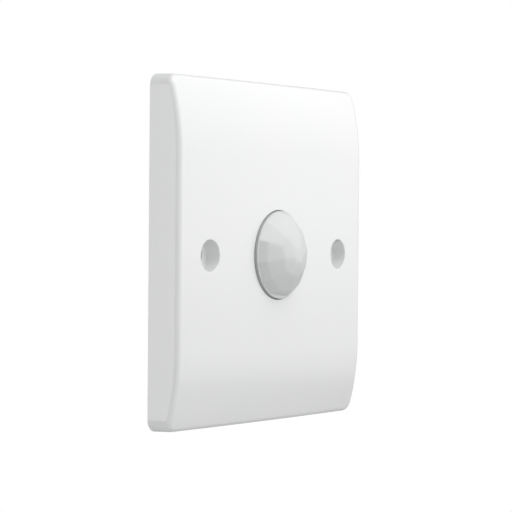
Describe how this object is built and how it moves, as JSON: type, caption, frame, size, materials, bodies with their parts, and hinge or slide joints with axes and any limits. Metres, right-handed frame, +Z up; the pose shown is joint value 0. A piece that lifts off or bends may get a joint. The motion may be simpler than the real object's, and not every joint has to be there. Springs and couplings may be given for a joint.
{
  "type": "motion sensor switch",
  "caption": "White square wall plate with a facetted dome sensor lens, a screw pocket on each side, and a stepped rear casing with screw terminals, relay and setting knobs.",
  "frame": {"origin": "on the wall's surface, midway between the two fixing screws", "axes": "+X to the right seen from the front, +Y into the wall, +Z up"},
  "size_m": [0.086, 0.0396, 0.0861],
  "materials": {
    "plate_white": "glossy moulded white",
    "lens_polyethylene": "milky translucent polyethylene",
    "white_moulding": "plain white moulding",
    "zinc_steel": "zinc plated",
    "nickel_screw": "nickel plated",
    "nickel_steel": "nickel plated can",
    "board_green": "solder resist over glass laminate",
    "infrared_filter": "dark silicon filter",
    "ceramic_element": "fired ceramic",
    "tinned_pin": "bright tinned",
    "photocell_ceramic": "clear coated ceramic with a cadmium sulphide track",
    "black_epoxy": "moulded epoxy",
    "ceramic_chip": "glazed chip",
    "black_nylon": "moulded nylon",
    "relay_case": "moulded blue",
    "bobbin_nylon": "natural nylon",
    "copper_winding": "enamelled copper wire",
    "soft_iron": "plated soft iron",
    "contact_bronze": "phosphor bronze with silver contacts",
    "film_capacitor_case": "moulded yellow box",
    "aluminium_can": "drawn can",
    "capacitor_sleeve": "shrunk sleeve",
    "blue_epoxy": "dipped coating",
    "flameproof_coating": "cement coating",
    "terminal_nylon": "moulded light grey nylon",
    "terminal_brass": "tinned brass",
    "trimmer_case": "moulded blue",
    "knob_plastic": "moulded acetal"
  },
  "bodies": {
    "casing": {"board_screws": "zinc_steel", "capacitor_sleeve": "capacitor_sleeve", "chip_legs": "tinned_pin", "control_chip": "black_epoxy", "driver_transistor": "black_epoxy", "dropper_capacitor": "film_capacitor_case", "fresnel_lens": "lens_polyethylene", "front_plate": "plate_white", "fuse_resistor": "flameproof_coating", "housing_screws": "zinc_steel", "lens_retaining_ring": "white_moulding", "light_sensor": "photocell_ceramic", "link_header": "black_nylon", "link_pins": "tinned_pin", "lux_trimmer": "trimmer_case", "pir_base": "nickel_steel", "pir_can": "nickel_steel", "pir_element": "ceramic_element", "pir_leads": "tinned_pin", "pir_window": "infrared_filter", "power_board": "board_green", "rear_housing": "white_moulding", "rectifier_diodes": "black_epoxy", "relay_base": "black_nylon", "relay_bobbin": "bobbin_nylon", "relay_coil": "copper_winding", "relay_core": "soft_iron", "relay_cover": "relay_case", "relay_fixed_contact": "contact_bronze", "relay_hinge_spring": "contact_bronze", "relay_pins": "tinned_pin", "relay_yoke": "soft_iron", "sensor_board": "board_green", "small_resistors": "ceramic_chip", "smoothing_capacitor": "aluminium_can", "terminal_bar_live": "terminal_brass", "terminal_bar_load": "terminal_brass", "terminal_bar_neutral": "terminal_brass", "terminal_block": "terminal_nylon", "time_trimmer": "trimmer_case", "varistor": "blue_epoxy"},
    "time_setting": {"time_knob": "knob_plastic"},
    "lux_setting": {"lux_knob": "knob_plastic"},
    "armature": {"relay_armature": "soft_iron", "relay_blade": "contact_bronze"},
    "screw_live": {"terminal_screw_live": "nickel_screw"},
    "clamp_live": {"terminal_clamp_live": "zinc_steel"},
    "screw_neutral": {"terminal_screw_neutral": "nickel_screw"},
    "clamp_neutral": {"terminal_clamp_neutral": "zinc_steel"},
    "screw_load": {"terminal_screw_load": "nickel_screw"},
    "clamp_load": {"terminal_clamp_load": "zinc_steel"}
  },
  "joints": [
    {"name": "time_knob_turn", "type": "hinge", "parent": "casing", "child": "time_setting", "pos_m": [0.0155, 0.0174, 0.019], "axis": [0, 1, 0], "range_deg": [-135, 135]},
    {"name": "lux_knob_turn", "type": "hinge", "parent": "casing", "child": "lux_setting", "pos_m": [0.0155, 0.0174, 0.0076], "axis": [0, 1, 0], "range_deg": [-135, 135]},
    {"name": "armature_tilt", "type": "hinge", "parent": "casing", "child": "armature", "pos_m": [0.00045, 0.01805, 0.00825], "axis": [1, 0, 0], "range_deg": [0, 3], "stiffness_Nm_per_rad": 0.002, "springref_deg": -11.46},
    {"name": "screw_live_turn", "type": "hinge", "parent": "casing", "child": "screw_live", "pos_m": [-0.00762, 0.0181, -0.0239], "axis": [0, -1, 0], "range_deg": [0, 2160.5]},
    {"name": "clamp_live_rise", "type": "slide", "parent": "casing", "child": "clamp_live", "axis": [0, 1, 0], "range_m": [0, 0.003]},
    {"name": "screw_neutral_turn", "type": "hinge", "parent": "casing", "child": "screw_neutral", "pos_m": [0, 0.0181, -0.0239], "axis": [0, -1, 0], "range_deg": [0, 2160.5]},
    {"name": "clamp_neutral_rise", "type": "slide", "parent": "casing", "child": "clamp_neutral", "axis": [0, 1, 0], "range_m": [0, 0.003]},
    {"name": "screw_load_turn", "type": "hinge", "parent": "casing", "child": "screw_load", "pos_m": [0.00762, 0.0181, -0.0239], "axis": [0, -1, 0], "range_deg": [0, 2160.5]},
    {"name": "clamp_load_rise", "type": "slide", "parent": "casing", "child": "clamp_load", "axis": [0, 1, 0], "range_m": [0, 0.003]}
  ],
  "couplings": [
    {"joint": "screw_live_turn", "follows": "clamp_live_rise", "rad_per_m": 12566},
    {"joint": "screw_neutral_turn", "follows": "clamp_neutral_rise", "rad_per_m": 12566},
    {"joint": "screw_load_turn", "follows": "clamp_load_rise", "rad_per_m": 12566}
  ]
}
